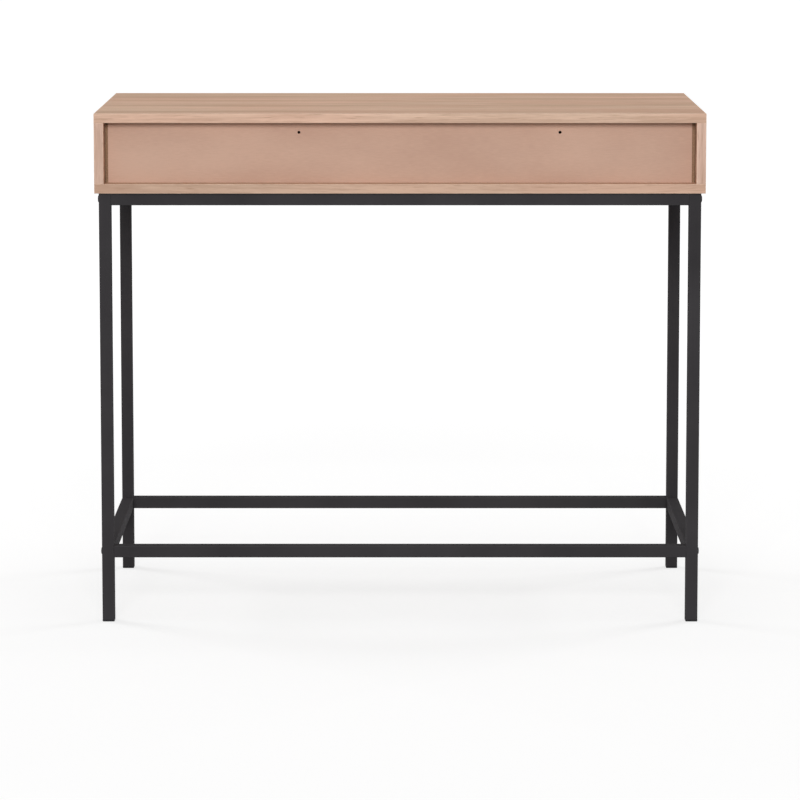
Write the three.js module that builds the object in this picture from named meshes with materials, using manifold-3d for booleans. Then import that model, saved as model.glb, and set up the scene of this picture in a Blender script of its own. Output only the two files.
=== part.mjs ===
// Writing desk with two drawers: an edge-banded board case on a frame of square steel tube.
//
// Millimetres, +Z up. The drawer fronts face -Y, left is -X as the sitter sees it. The origin is on
// the floor, under the middle of the desk's overall box, knobs included.
//
// The frame is two welded end frames (two legs, a top rail and a stretcher each) that four long
// members join, each held by one bolt at either end. The case stands on the frame and four screws
// hold it down. Each drawer runs on a pair of ball-bearing slides: an outer member on the case, an
// inner member on the drawer, and a ball cage between them that moves half as far as the drawer.

import * as THREE from "three";
import { mergeVertices } from "three/addons/utils/BufferGeometryUtils.js";
import Module from "manifold-3d";

const wasm = await Module();
wasm.setup();

// ------------------------------------------------------------------ driving dimensions

// Case
const CASE_WIDTH = 900;
const CASE_DEPTH = 450;
const DESK_HEIGHT = 760;
const BOARD = 14;
const BAY_HEIGHT = 90; // clear height between the bottom and the top board

// Back panel, set in from the rear edges of the case
const BACK_THICKNESS = 12;
const BACK_RECESS = 24;
const BACK_SIDE_GAP = 0.5; // to the side panels
const BACK_EDGE_GAP = 0.5; // to the top and the bottom board
const BACK_REBATE_WIDTH = 4.5; // of the step along both side edges of its rear face
const BACK_REBATE_DEPTH = 5;
const ANCHOR_HOLES_X = [-236, 149]; // pilot holes for the straps that tie the desk to a wall
const ANCHOR_HOLE_DIAMETER = 4.5;
const ANCHOR_HOLE_DROP = 15.5; // below the top board

// Frame of square tube
const TUBE = 18;
const TUBE_WALL = 1.2;
const TUBE_CORNER = 1.5; // outer corner radius
const FRAME_INSET = 6; // from the outer faces of the case
const STRETCHER_TOP = 115; // above the floor
const END_PLATE = 3; // closes each end of a long member, tapped for its bolt

// Foot caps: a flange under the leg and a plug inside it
const CAP_FLANGE = 3;
const CAP_PLUG = 14;
const CAP_CLEARANCE = 0.3; // plug to tube wall

// Frame bolts, with low domed heads
const BOLT_DIAMETER = 6;
const BOLT_HEAD_DIAMETER = 10.5;
const BOLT_HEAD_HEIGHT = 1.6;
const BOLT_SOCKET_DIAMETER = 4;
const BOLT_SOCKET_DEPTH = 3;
const BOLT_SOCKET_RIM = 0.8; // width of the flat round the socket
const BOLT_REACH = 12; // past the leg, into the long member

// Screws, here and at the knobs
const SCREW_DIAMETER = 4;
const SCREW_HEAD_DIAMETER = 9;
const SCREW_HEAD_HEIGHT = 2.6;
const SCREW_HEAD_FLAT = 3; // diameter of the flat on top of the head
const CASE_SCREW_BITE = 10; // into the bottom board
const CASE_SCREW_INSET = 176; // from the end of a long top rail

const HOLE_CLEARANCE = 0.3; // all round a bolt or a screw
const CUT_THROUGH = 2; // how much longer a tool is than what it cuts through

// Drawers
const FRONT_THICKNESS = 14;
const FRONT_GAP = 2; // round a drawer front
const DRAWER_BOARD = 12;
const DRAWER_FLOOR = 4;
const DRAWER_RISE = 6; // from the front's lower edge to the sides' lower edge
const DRAWER_DROP = 14; // from the front's upper edge to the sides' upper edge
const DRAWER_REAR_ROOM = 42; // behind the drawer, in front of the back panel
const FLOOR_HEIGHT = 8; // from the sides' lower edge to the floor
const GROOVE_DEPTH = 6;
const GROOVE_CLEARANCE = 0.3;

// Knobs
const KNOB_REACH = 24;
const KNOB_DIAMETER = 28;
const KNOB_NECK_DIAMETER = 12;
const KNOB_BASE_DIAMETER = 16;
const KNOB_BASE_HEIGHT = 1.5;
const KNOB_SLOPE = 2.5; // how far the slopes at both ends of the neck run out
const KNOB_RIM = 4; // radius of the head's rounded rim
const KNOB_SCREW_BITE = 11;

// Drawer slides
const SLIDE_WIDTH = 12.5; // from the case to the drawer
const SLIDE_STEEL = 1.2;
const SLIDE_END_SET = 4; // from each end of the drawer box to the end of the slide
const SLIDE_OVERLAP = 100; // of the two members with the drawer fully out
const SLIDE_LIP = 1.4; // how far the open edges of a member turn over, to hold the balls
const OUTER_HEIGHT = 35;
const OUTER_REACH = 10; // out from the case
const BALL_DIAMETER = 4.3; // room that the two members leave for the balls
const CAGE_STEEL = 0.8;
const CAGE_CLEARANCE = 0.5; // to both members
const CAGE_END_GAP = 3; // from each end of the overlap, with the drawer fully out

// ------------------------------------------------------------------ derived places

const ENDS = [
  ["left", -1],
  ["right", 1],
];
const FACES = [
  ["front", -1],
  ["rear", 1],
];

const CASE_HEIGHT = BAY_HEIGHT + 2 * BOARD;
const CASE_BOTTOM = DESK_HEIGHT - CASE_HEIGHT;
const BAY_BOTTOM = CASE_BOTTOM + BOARD;
const BAY_WIDTH = (CASE_WIDTH - 3 * BOARD) / 2;
const REAR_FACE = CASE_DEPTH / 2;
const FRONT_FACE = -CASE_DEPTH / 2;
const BACK_FRONT_FACE = REAR_FACE - BACK_RECESS - BACK_THICKNESS;

const LEG_X = CASE_WIDTH / 2 - FRAME_INSET - TUBE / 2;
const LEG_Y = CASE_DEPTH / 2 - FRAME_INSET - TUBE / 2;
const TOP_RAIL_Z = CASE_BOTTOM - TUBE / 2;
const STRETCHER_Z = STRETCHER_TOP - TUBE / 2;

const BOLT_HOLE_RADIUS = BOLT_DIAMETER / 2 + HOLE_CLEARANCE;
const SCREW_HOLE_RADIUS = SCREW_DIAMETER / 2 + HOLE_CLEARANCE;
const CASE_SCREW_X = LEG_X - TUBE / 2 - CASE_SCREW_INSET;

const DRAWER_FRONT_WIDTH = BAY_WIDTH - 2 * FRONT_GAP;
const DRAWER_FRONT_HEIGHT = BAY_HEIGHT - 2 * FRONT_GAP;
const DRAWER_FRONT_BOTTOM = BAY_BOTTOM + FRONT_GAP;
const DRAWER_WIDTH = BAY_WIDTH - 2 * SLIDE_WIDTH;
const DRAWER_BOTTOM = DRAWER_FRONT_BOTTOM + DRAWER_RISE;
const DRAWER_SIDE_HEIGHT = DRAWER_FRONT_HEIGHT - DRAWER_RISE - DRAWER_DROP;
const DRAWER_START = FRONT_FACE + FRONT_THICKNESS;
const DRAWER_LENGTH = BACK_FRONT_FACE - DRAWER_REAR_ROOM - DRAWER_START;
const FLOOR_BOTTOM = DRAWER_BOTTOM + FLOOR_HEIGHT;
const FLOOR_WIDTH = DRAWER_WIDTH - 2 * DRAWER_BOARD + 2 * (GROOVE_DEPTH - GROOVE_CLEARANCE);
const KNOB_Z = DRAWER_FRONT_BOTTOM + DRAWER_FRONT_HEIGHT / 2;

const SLIDE_LENGTH = DRAWER_LENGTH - 2 * SLIDE_END_SET;
const SLIDE_START = DRAWER_START + SLIDE_END_SET;
const SLIDE_Z = DRAWER_BOTTOM + DRAWER_SIDE_HEIGHT / 2;
const SLIDE_TRAVEL = SLIDE_LENGTH - SLIDE_OVERLAP;
const CAGE_LENGTH = SLIDE_OVERLAP - 2 * CAGE_END_GAP;

// ------------------------------------------------------------------ materials

function material(color, roughness, metalness = 0) {
  return new THREE.MeshStandardMaterial({ color, roughness, metalness });
}

const OAK_BOARD = material(0xcfb098, 0.55);
const BACK_BOARD = material(0xbb9885, 0.7);
const DRAWER_FOIL = material(0xd8c4ae, 0.6);
const BLACK_STEEL = material(0x38363a, 0.45, 0.3);
const BLACK_PLASTIC = material(0x1d1d1e, 0.6);
const ZINC_STEEL = material(0xb4b7ba, 0.35, 0.9);

// ------------------------------------------------------------------ geometry helpers

// Exact turns of an extrusion so that it runs along another axis, with its section's y upright
// wherever the axis lies level.
const RUN = {
  x: new THREE.Matrix4().set(0, 0, 1, 0, 1, 0, 0, 0, 0, 1, 0, 0, 0, 0, 0, 1),
  y: new THREE.Matrix4().set(1, 0, 0, 0, 0, 0, -1, 0, 0, 1, 0, 0, 0, 0, 0, 1),
  z: new THREE.Matrix4(),
};

// Turns of a lathe shape, which stands on its own +Y, so that its top points along an axis.
const POINT = {
  "+x": new THREE.Matrix4().makeRotationZ(-Math.PI / 2),
  "-x": new THREE.Matrix4().makeRotationZ(Math.PI / 2),
  "+y": new THREE.Matrix4(),
  "-y": new THREE.Matrix4().makeRotationX(Math.PI),
  "-z": new THREE.Matrix4().makeRotationX(-Math.PI / 2),
};

// A prism of a section, centred on its length. The section is drawn in the plane across the axis.
function prism(section, length, axis) {
  const run = { depth: length, bevelEnabled: false, curveSegments: 3 };
  const geometry = new THREE.ExtrudeGeometry(section, run);
  return geometry.translate(0, 0, -length / 2).applyMatrix4(RUN[axis]);
}

// The outside of the square tube, with rounded corners.
function tubeSection() {
  const arc = TUBE / 2 - TUBE_CORNER;
  const quarter = Math.PI / 2;
  const outline = new THREE.Shape();
  outline.moveTo(TUBE / 2, arc);
  outline.absarc(arc, arc, TUBE_CORNER, 0, quarter);
  outline.absarc(-arc, arc, TUBE_CORNER, quarter, 2 * quarter);
  outline.absarc(-arc, -arc, TUBE_CORNER, 2 * quarter, 3 * quarter);
  outline.absarc(arc, -arc, TUBE_CORNER, 3 * quarter, 4 * quarter);
  return outline;
}

function rod(radius, length, axis, segments = 16) {
  const geometry = new THREE.CylinderGeometry(radius, radius, length, segments);
  if (axis === "x") geometry.rotateZ(Math.PI / 2);
  if (axis === "z") geometry.rotateX(Math.PI / 2);
  return geometry;
}

function lathe(profile, direction, segments = 16) {
  const points = profile.map(([radius, height]) => new THREE.Vector2(radius, height));
  return new THREE.LatheGeometry(points, segments).applyMatrix4(POINT[direction]);
}

function toSolid(geometry) {
  const bare = new THREE.BufferGeometry();
  bare.setAttribute("position", geometry.getAttribute("position"));
  bare.setIndex(geometry.index);
  const merged = mergeVertices(bare, 1e-3);
  return new wasm.Manifold(
    new wasm.Mesh({
      numProp: 3,
      vertProperties: merged.attributes.position.array,
      triVerts: new Uint32Array(merged.index.array),
    }),
  );
}

function toGeometry(solid) {
  const made = solid.getMesh();
  const geometry = new THREE.BufferGeometry();
  geometry.setAttribute("position", new THREE.BufferAttribute(made.vertProperties, 3));
  geometry.setIndex(new THREE.BufferAttribute(made.triVerts, 1));
  geometry.computeVertexNormals();
  return geometry;
}

// Takes each tool out of a piece. Both are in the piece's own frame.
function cut(geometry, tools) {
  const solid = tools.reduce((left, tool) => left.subtract(toSolid(tool)), toSolid(geometry));
  return toGeometry(solid);
}

function join(geometry, other) {
  return toGeometry(toSolid(geometry).add(toSolid(other)));
}

function box(x, y, z) {
  return new THREE.BoxGeometry(x, y, z);
}

function place(group, name, geometry, finish, position) {
  const mesh = new THREE.Mesh(geometry, finish);
  mesh.name = name;
  mesh.position.set(...position);
  group.add(mesh);
}

// ------------------------------------------------------------------ fasteners

// A low dome's outline, from its rim up to a flat on top.
function dome(rim, flat, height) {
  const steps = [0, 1, 2, 3].map((step) => ((step / 3) * Math.PI) / 2);
  return steps.map((turn) => [flat + (rim - flat) * Math.cos(turn), height * Math.sin(turn)]);
}

// The bolt's head bears at height 0, and its shank runs down from there.
function boltGeometry(direction) {
  const shank = BOLT_DIAMETER / 2;
  const socket = BOLT_SOCKET_DIAMETER / 2;
  const bottom = -(TUBE + BOLT_REACH);
  return lathe(
    [
      [0, bottom],
      [shank, bottom],
      [shank, 0],
      ...dome(BOLT_HEAD_DIAMETER / 2, socket + BOLT_SOCKET_RIM, BOLT_HEAD_HEIGHT),
      [socket, BOLT_HEAD_HEIGHT],
      [socket, BOLT_HEAD_HEIGHT - BOLT_SOCKET_DEPTH],
      [0, BOLT_HEAD_HEIGHT - BOLT_SOCKET_DEPTH],
    ],
    direction,
  );
}

function screwGeometry(length, direction) {
  const shank = SCREW_DIAMETER / 2;
  return lathe(
    [
      [0, -length],
      [shank, -length + shank],
      [shank, 0],
      ...dome(SCREW_HEAD_DIAMETER / 2, SCREW_HEAD_FLAT / 2, SCREW_HEAD_HEIGHT),
      [0, SCREW_HEAD_HEIGHT],
    ],
    direction,
    12,
  );
}

// ------------------------------------------------------------------ frame

function legGeometry() {
  const length = CASE_BOTTOM - CAP_FLANGE;
  const middle = CAP_FLANGE + length / 2;
  const bore = box(TUBE - 2 * TUBE_WALL, TUBE - 2 * TUBE_WALL, length + CUT_THROUGH);
  const boltHoles = [TOP_RAIL_Z, STRETCHER_Z].map((z) =>
    rod(BOLT_HOLE_RADIUS, TUBE + CUT_THROUGH, "x").translate(0, 0, z - middle),
  );
  return cut(prism(tubeSection(), length, "z"), [bore, ...boltHoles]);
}

// A member welded between the two legs of an end frame.
function endMemberGeometry() {
  const length = 2 * LEG_Y - TUBE;
  const bore = box(TUBE - 2 * TUBE_WALL, length + CUT_THROUGH, TUBE - 2 * TUBE_WALL);
  return cut(prism(tubeSection(), length, "y"), [bore]);
}

// A member bolted between the two end frames. Its bore stops at the end plates.
function longMemberGeometry(screwHoles) {
  const length = 2 * LEG_X - TUBE;
  const bore = box(length - 2 * END_PLATE, TUBE - 2 * TUBE_WALL, TUBE - 2 * TUBE_WALL);
  const boltHole = rod(BOLT_HOLE_RADIUS, length + CUT_THROUGH, "x");
  return cut(prism(tubeSection(), length, "x"), [bore, boltHole, ...screwHoles]);
}

// Holes for the case screws: one of shank size in the rail's upper wall, and one in its lower wall
// that lets the head through, to seat inside the tube.
function caseScrewHoles() {
  const holes = [];
  for (const [, sx] of ENDS) {
    const shank = rod(SCREW_HOLE_RADIUS, TUBE, "z");
    const head = rod(SCREW_HEAD_DIAMETER / 2 + HOLE_CLEARANCE, TUBE, "z");
    holes.push(shank.translate(sx * CASE_SCREW_X, 0, TUBE / 2));
    holes.push(head.translate(sx * CASE_SCREW_X, 0, -TUBE / 2 - TUBE_WALL));
  }
  return holes;
}

function footCapGeometry() {
  const flange = prism(tubeSection(), CAP_FLANGE, "z");
  const plug = TUBE - 2 * TUBE_WALL - 2 * CAP_CLEARANCE;
  const sunk = CAP_FLANGE / 2; // the plug starts inside the flange, so that the two join
  const stem = box(plug, plug, CAP_PLUG + sunk);
  stem.translate(0, 0, (CAP_PLUG + sunk) / 2);
  return join(flange, stem);
}

function buildFrame() {
  const frame = new THREE.Group();
  const legZ = (CAP_FLANGE + CASE_BOTTOM) / 2;
  for (const [end, sx] of ENDS) {
    const x = sx * LEG_X;
    for (const [face, sy] of FACES) {
      const y = sy * LEG_Y;
      place(frame, `${end}_${face}_leg`, legGeometry(), BLACK_STEEL, [x, y, legZ]);
      const capAt = [x, y, CAP_FLANGE / 2];
      place(frame, `${end}_${face}_foot_cap`, footCapGeometry(), BLACK_PLASTIC, capAt);
      for (const [level, z] of [["rail", TOP_RAIL_Z], ["stretcher", STRETCHER_Z]]) {
        const bolt = boltGeometry(sx < 0 ? "-x" : "+x");
        const outerFace = sx * (LEG_X + TUBE / 2);
        place(frame, `${end}_${face}_${level}_bolt`, bolt, BLACK_STEEL, [outerFace, y, z]);
      }
    }
    place(frame, `${end}_top_rail`, endMemberGeometry(), BLACK_STEEL, [x, 0, TOP_RAIL_Z]);
    place(frame, `${end}_stretcher`, endMemberGeometry(), BLACK_STEEL, [x, 0, STRETCHER_Z]);
  }

  for (const [face, sy] of FACES) {
    const y = sy * LEG_Y;
    const rail = longMemberGeometry(caseScrewHoles());
    place(frame, `${face}_top_rail`, rail, BLACK_STEEL, [0, y, TOP_RAIL_Z]);
    place(frame, `${face}_stretcher`, longMemberGeometry([]), BLACK_STEEL, [0, y, STRETCHER_Z]);
    for (const [end, sx] of ENDS) {
      const screw = screwGeometry(TUBE_WALL + CASE_SCREW_BITE, "-z");
      const at = [sx * CASE_SCREW_X, y, CASE_BOTTOM - TUBE_WALL];
      place(frame, `${end}_${face}_case_screw`, screw, ZINC_STEEL, at);
    }
  }
  return frame;
}

// ------------------------------------------------------------------ case

function bottomBoardGeometry() {
  const pilots = [];
  const depth = CASE_SCREW_BITE + HOLE_CLEARANCE;
  for (const [, sx] of ENDS) {
    for (const [, sy] of FACES) {
      const pilot = rod(SCREW_HOLE_RADIUS, 2 * depth, "z");
      pilots.push(pilot.translate(sx * CASE_SCREW_X, sy * LEG_Y, -BOARD / 2));
    }
  }
  return cut(box(CASE_WIDTH, CASE_DEPTH, BOARD), pilots);
}

function backPanelGeometry() {
  const width = CASE_WIDTH - 2 * BOARD - 2 * BACK_SIDE_GAP;
  const holeZ = BAY_HEIGHT / 2 - ANCHOR_HOLE_DROP;
  const cuts = ANCHOR_HOLES_X.map((x) =>
    rod(ANCHOR_HOLE_DIAMETER / 2, BACK_THICKNESS + CUT_THROUGH, "y").translate(x, 0, holeZ),
  );
  for (const [, sx] of ENDS) {
    const rebate = box(2 * BACK_REBATE_WIDTH, 2 * BACK_REBATE_DEPTH, BAY_HEIGHT);
    cuts.push(rebate.translate((sx * width) / 2, BACK_THICKNESS / 2, 0));
  }
  return cut(box(width, BACK_THICKNESS, BAY_HEIGHT - 2 * BACK_EDGE_GAP), cuts);
}

function buildCase() {
  const shell = new THREE.Group();
  const bayMiddle = BAY_BOTTOM + BAY_HEIGHT / 2;
  const topZ = DESK_HEIGHT - BOARD / 2;
  const top = box(CASE_WIDTH, CASE_DEPTH, BOARD);
  place(shell, "top_board", top, OAK_BOARD, [0, 0, topZ]);
  place(shell, "bottom_board", bottomBoardGeometry(), OAK_BOARD, [0, 0, CASE_BOTTOM + BOARD / 2]);

  const sideX = (CASE_WIDTH - BOARD) / 2;
  for (const [end, sx] of ENDS) {
    const side = box(BOARD, CASE_DEPTH, BAY_HEIGHT);
    place(shell, `${end}_side_panel`, side, OAK_BOARD, [sx * sideX, 0, bayMiddle]);
  }

  const dividerDepth = BACK_FRONT_FACE - FRONT_FACE;
  const divider = box(BOARD, dividerDepth, BAY_HEIGHT);
  const dividerY = FRONT_FACE + dividerDepth / 2;
  place(shell, "centre_divider", divider, OAK_BOARD, [0, dividerY, bayMiddle]);

  const backY = BACK_FRONT_FACE + BACK_THICKNESS / 2;
  place(shell, "back_panel", backPanelGeometry(), BACK_BOARD, [0, backY, bayMiddle]);
  return shell;
}

// ------------------------------------------------------------------ drawer slides

// A channel's section from the points of its upper half: x from the case, and z from the middle.
// facing is 1 where the case lies on the slide's -x side, and -1 where it lies on its +x side.
function channelSection(upper, facing) {
  const lower = upper.map(([x, z]) => [x, -z]).reverse();
  return new THREE.Shape([...upper, ...lower].map(([x, z]) => new THREE.Vector2(facing * x, z)));
}

// The outer member's web lies on the case. Its open edges turn in towards the middle.
function outerSection(facing) {
  const half = OUTER_HEIGHT / 2;
  const inside = half - SLIDE_STEEL;
  const upper = [
    [0, half],
    [OUTER_REACH, half],
    [OUTER_REACH, inside - SLIDE_LIP],
    [OUTER_REACH - SLIDE_STEEL, inside - SLIDE_LIP],
    [OUTER_REACH - SLIDE_STEEL, inside],
    [SLIDE_STEEL, inside],
  ];
  return channelSection(upper, facing);
}

// The inner member's web lies on the drawer. Its open edges turn out, behind the balls.
function innerSection(facing) {
  const half = OUTER_HEIGHT / 2 - SLIDE_STEEL - BALL_DIAMETER;
  const inside = half - SLIDE_STEEL;
  const tip = SLIDE_STEEL + CAGE_CLEARANCE + CAGE_STEEL + CAGE_CLEARANCE;
  const upper = [
    [SLIDE_WIDTH, half],
    [tip + SLIDE_STEEL, half],
    [tip + SLIDE_STEEL, half + SLIDE_LIP],
    [tip, half + SLIDE_LIP],
    [tip, inside],
    [SLIDE_WIDTH - SLIDE_STEEL, inside],
  ];
  return channelSection(upper, facing);
}

// The cage's flanges run between the two members, and its web passes behind the inner member.
function cageSection(facing) {
  const innerHalf = OUTER_HEIGHT / 2 - SLIDE_STEEL - BALL_DIAMETER;
  const inside = innerHalf + SLIDE_LIP + CAGE_CLEARANCE;
  const half = inside + CAGE_STEEL;
  const web = SLIDE_STEEL + CAGE_CLEARANCE;
  const tip = OUTER_REACH - SLIDE_STEEL - CAGE_CLEARANCE;
  const upper = [
    [web, half],
    [tip, half],
    [tip, inside],
    [web + CAGE_STEEL, inside],
  ];
  return channelSection(upper, facing);
}

function buildSlide(name, wallX, facing) {
  const slide = new THREE.Group();
  const at = [wallX, SLIDE_START + SLIDE_LENGTH / 2, SLIDE_Z];
  const outer = prism(outerSection(facing), SLIDE_LENGTH, "y");
  const inner = prism(innerSection(facing), SLIDE_LENGTH, "y");
  place(slide, `${name}_slide_outer`, outer, ZINC_STEEL, at);
  place(slide, `${name}_slide_inner`, inner, ZINC_STEEL, at);

  const cageY = SLIDE_START + (SLIDE_OVERLAP + SLIDE_TRAVEL) / 2;
  const cage = prism(cageSection(facing), CAGE_LENGTH, "y");
  place(slide, `${name}_ball_cage`, cage, ZINC_STEEL, [wallX, cageY, SLIDE_Z]);
  return slide;
}

// ------------------------------------------------------------------ drawers

function drawerFrontGeometry() {
  const grooveZ = FLOOR_BOTTOM + DRAWER_FLOOR / 2 - KNOB_Z;
  const grooveHeight = DRAWER_FLOOR + 2 * GROOVE_CLEARANCE;
  const groove = box(FLOOR_WIDTH + 2 * GROOVE_CLEARANCE, 2 * GROOVE_DEPTH, grooveHeight);
  groove.translate(0, FRONT_THICKNESS / 2, grooveZ);
  const screwHole = rod(SCREW_HOLE_RADIUS, FRONT_THICKNESS + CUT_THROUGH, "y");
  const blank = box(DRAWER_FRONT_WIDTH, FRONT_THICKNESS, DRAWER_FRONT_HEIGHT);
  return cut(blank, [groove, screwHole]);
}

// A drawer side, with the groove for the floor in the face that looks along inward.
function drawerSideGeometry(inward) {
  const half = DRAWER_BOARD / 2;
  const top = DRAWER_SIDE_HEIGHT / 2;
  const bottom = -top;
  const grooveLow = bottom + FLOOR_HEIGHT - GROOVE_CLEARANCE;
  const grooveHigh = grooveLow + DRAWER_FLOOR + 2 * GROOVE_CLEARANCE;
  const points = [
    [-half, bottom],
    [half, bottom],
    [half, grooveLow],
    [half - GROOVE_DEPTH, grooveLow],
    [half - GROOVE_DEPTH, grooveHigh],
    [half, grooveHigh],
    [half, top],
    [-half, top],
  ];
  const section = new THREE.Shape(points.map(([x, z]) => new THREE.Vector2(inward * x, z)));
  return prism(section, DRAWER_LENGTH, "y");
}

function knobGeometry() {
  const base = KNOB_BASE_DIAMETER / 2;
  const neck = KNOB_NECK_DIAMETER / 2;
  const head = KNOB_DIAMETER / 2;
  const rimMiddle = KNOB_REACH - KNOB_RIM;
  const rim = [-90, -45, 0, 45, 90].map((angle) => {
    const turn = THREE.MathUtils.degToRad(angle);
    return [head - KNOB_RIM + KNOB_RIM * Math.cos(turn), rimMiddle + KNOB_RIM * Math.sin(turn)];
  });
  return lathe(
    [
      [0, KNOB_SCREW_BITE + HOLE_CLEARANCE],
      [SCREW_HOLE_RADIUS, KNOB_SCREW_BITE + HOLE_CLEARANCE],
      [SCREW_HOLE_RADIUS, 0],
      [base, 0],
      [base, KNOB_BASE_HEIGHT],
      [neck, KNOB_BASE_HEIGHT + KNOB_SLOPE],
      [neck, KNOB_REACH - 2 * KNOB_RIM - KNOB_SLOPE],
      ...rim,
      [0, KNOB_REACH],
    ],
    "-y",
    24,
  );
}

function buildDrawer(name, sx) {
  const drawer = new THREE.Group();
  const middleX = (sx * (BAY_WIDTH + BOARD)) / 2;
  const middleY = DRAWER_START + DRAWER_LENGTH / 2;
  const frontY = FRONT_FACE + FRONT_THICKNESS / 2;
  const front = drawerFrontGeometry();
  place(drawer, `${name}_front`, front, OAK_BOARD, [middleX, frontY, KNOB_Z]);

  const sideX = (DRAWER_WIDTH - DRAWER_BOARD) / 2;
  const sideZ = DRAWER_BOTTOM + DRAWER_SIDE_HEIGHT / 2;
  for (const [end, side] of ENDS) {
    const at = [middleX + side * sideX, middleY, sideZ];
    place(drawer, `${name}_${end}_side`, drawerSideGeometry(-side), DRAWER_FOIL, at);
    const wallX = middleX + (side * BAY_WIDTH) / 2;
    drawer.add(buildSlide(`${name}_${end}`, wallX, -side));
  }

  const backBottom = FLOOR_BOTTOM + DRAWER_FLOOR + GROOVE_CLEARANCE;
  const backHeight = DRAWER_BOTTOM + DRAWER_SIDE_HEIGHT - backBottom;
  const back = box(DRAWER_WIDTH - 2 * DRAWER_BOARD, DRAWER_BOARD, backHeight);
  const backY = DRAWER_START + DRAWER_LENGTH - DRAWER_BOARD / 2;
  place(drawer, `${name}_back`, back, DRAWER_FOIL, [middleX, backY, backBottom + backHeight / 2]);

  const floorLength = DRAWER_LENGTH + GROOVE_DEPTH - GROOVE_CLEARANCE;
  const floorY = DRAWER_START + DRAWER_LENGTH - floorLength / 2;
  const floor = box(FLOOR_WIDTH, floorLength, DRAWER_FLOOR);
  const floorAt = [middleX, floorY, FLOOR_BOTTOM + DRAWER_FLOOR / 2];
  place(drawer, `${name}_floor`, floor, DRAWER_FOIL, floorAt);

  place(drawer, `${name}_knob`, knobGeometry(), BLACK_STEEL, [middleX, FRONT_FACE, KNOB_Z]);
  const screw = screwGeometry(FRONT_THICKNESS + KNOB_SCREW_BITE, "+y");
  place(drawer, `${name}_knob_screw`, screw, ZINC_STEEL, [middleX, DRAWER_START, KNOB_Z]);
  return drawer;
}

// ------------------------------------------------------------------ desk

const desk = new THREE.Group();
desk.add(buildFrame(), buildCase());
for (const [end, sx] of ENDS) desk.add(buildDrawer(`${end}_drawer`, sx));
desk.position.y = KNOB_REACH / 2; // centres the overall box on the origin

export default desk;
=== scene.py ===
"""Studio scene of a writing desk: an oak-look board case with two drawers on a frame of square tube.

Every piece is modelled here in metres, in the frame's own coordinates: +Z up, the drawers open
towards -Y, and -X is on the sitter's left.
"""

import logging
import math
from dataclasses import dataclass
from enum import Enum
from functools import lru_cache
from typing import Any, Callable, Iterable, Mapping, Sequence

import bmesh
import bpy
from mathutils import Matrix, Vector


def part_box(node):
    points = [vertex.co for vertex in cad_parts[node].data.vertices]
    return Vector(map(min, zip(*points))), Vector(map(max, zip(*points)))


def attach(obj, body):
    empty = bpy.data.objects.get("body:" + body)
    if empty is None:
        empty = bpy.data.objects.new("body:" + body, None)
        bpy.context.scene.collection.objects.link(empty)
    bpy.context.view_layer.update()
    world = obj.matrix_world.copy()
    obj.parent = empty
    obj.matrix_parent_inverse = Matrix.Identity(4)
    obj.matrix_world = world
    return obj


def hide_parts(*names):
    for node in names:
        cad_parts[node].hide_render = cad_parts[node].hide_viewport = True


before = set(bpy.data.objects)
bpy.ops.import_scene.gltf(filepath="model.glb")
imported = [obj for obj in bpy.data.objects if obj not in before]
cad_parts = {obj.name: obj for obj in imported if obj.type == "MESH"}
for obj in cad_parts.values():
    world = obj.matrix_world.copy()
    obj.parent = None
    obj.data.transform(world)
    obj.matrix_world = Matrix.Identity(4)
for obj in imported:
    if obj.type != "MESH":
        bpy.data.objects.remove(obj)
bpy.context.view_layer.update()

log = logging.getLogger("desk")

MM = 0.001
TOUCH = 1e-7  # points no further apart than this, in metres, lie at one level
COLLAR = 1.35  # how many times wider than a hole the square is that is cut round it
ENDS = (("left", -1), ("right", 1))
FACES = ("front", "rear")

Colour = tuple[float, float, float, float]


def srgb(red: int, green: int, blue: int) -> Colour:
    """Turns a colour as it is seen on screen into a scene colour.

    Args:
        red: Red, from 0 to 255.
        green: Green, from 0 to 255.
        blue: Blue, from 0 to 255.

    Returns:
        The linear colour, with an alpha of 1.
    """
    shares = (channel / 255 for channel in (red, green, blue))
    linear = (c / 12.92 if c <= 0.04045 else ((c + 0.055) / 1.055) ** 2.4 for c in shares)
    return (*linear, 1.0)


def parallel(first: Vector, second: Vector) -> bool:
    """Whether two directions lie along one line, either way round."""
    return abs(first.normalized().dot(second.normalized())) > 0.99


class Axis(Enum):
    """An axis of the desk, as an index into a point."""

    X = 0
    Y = 1
    Z = 2

    @property
    def unit(self) -> Vector:
        """The unit vector along the axis."""
        return Vector([float(i == self.value) for i in range(3)])

    @property
    def grain_turn(self) -> tuple[float, float, float]:
        """The turn that brings this axis onto X, along which the grain pattern runs."""
        quarter = math.pi / 2
        return {Axis.X: (0.0, 0.0, 0.0), Axis.Y: (0.0, 0.0, -quarter), Axis.Z: (0.0, quarter, 0.0)}[self]


# ------------------------------------------------------------------ shader graphs


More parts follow.
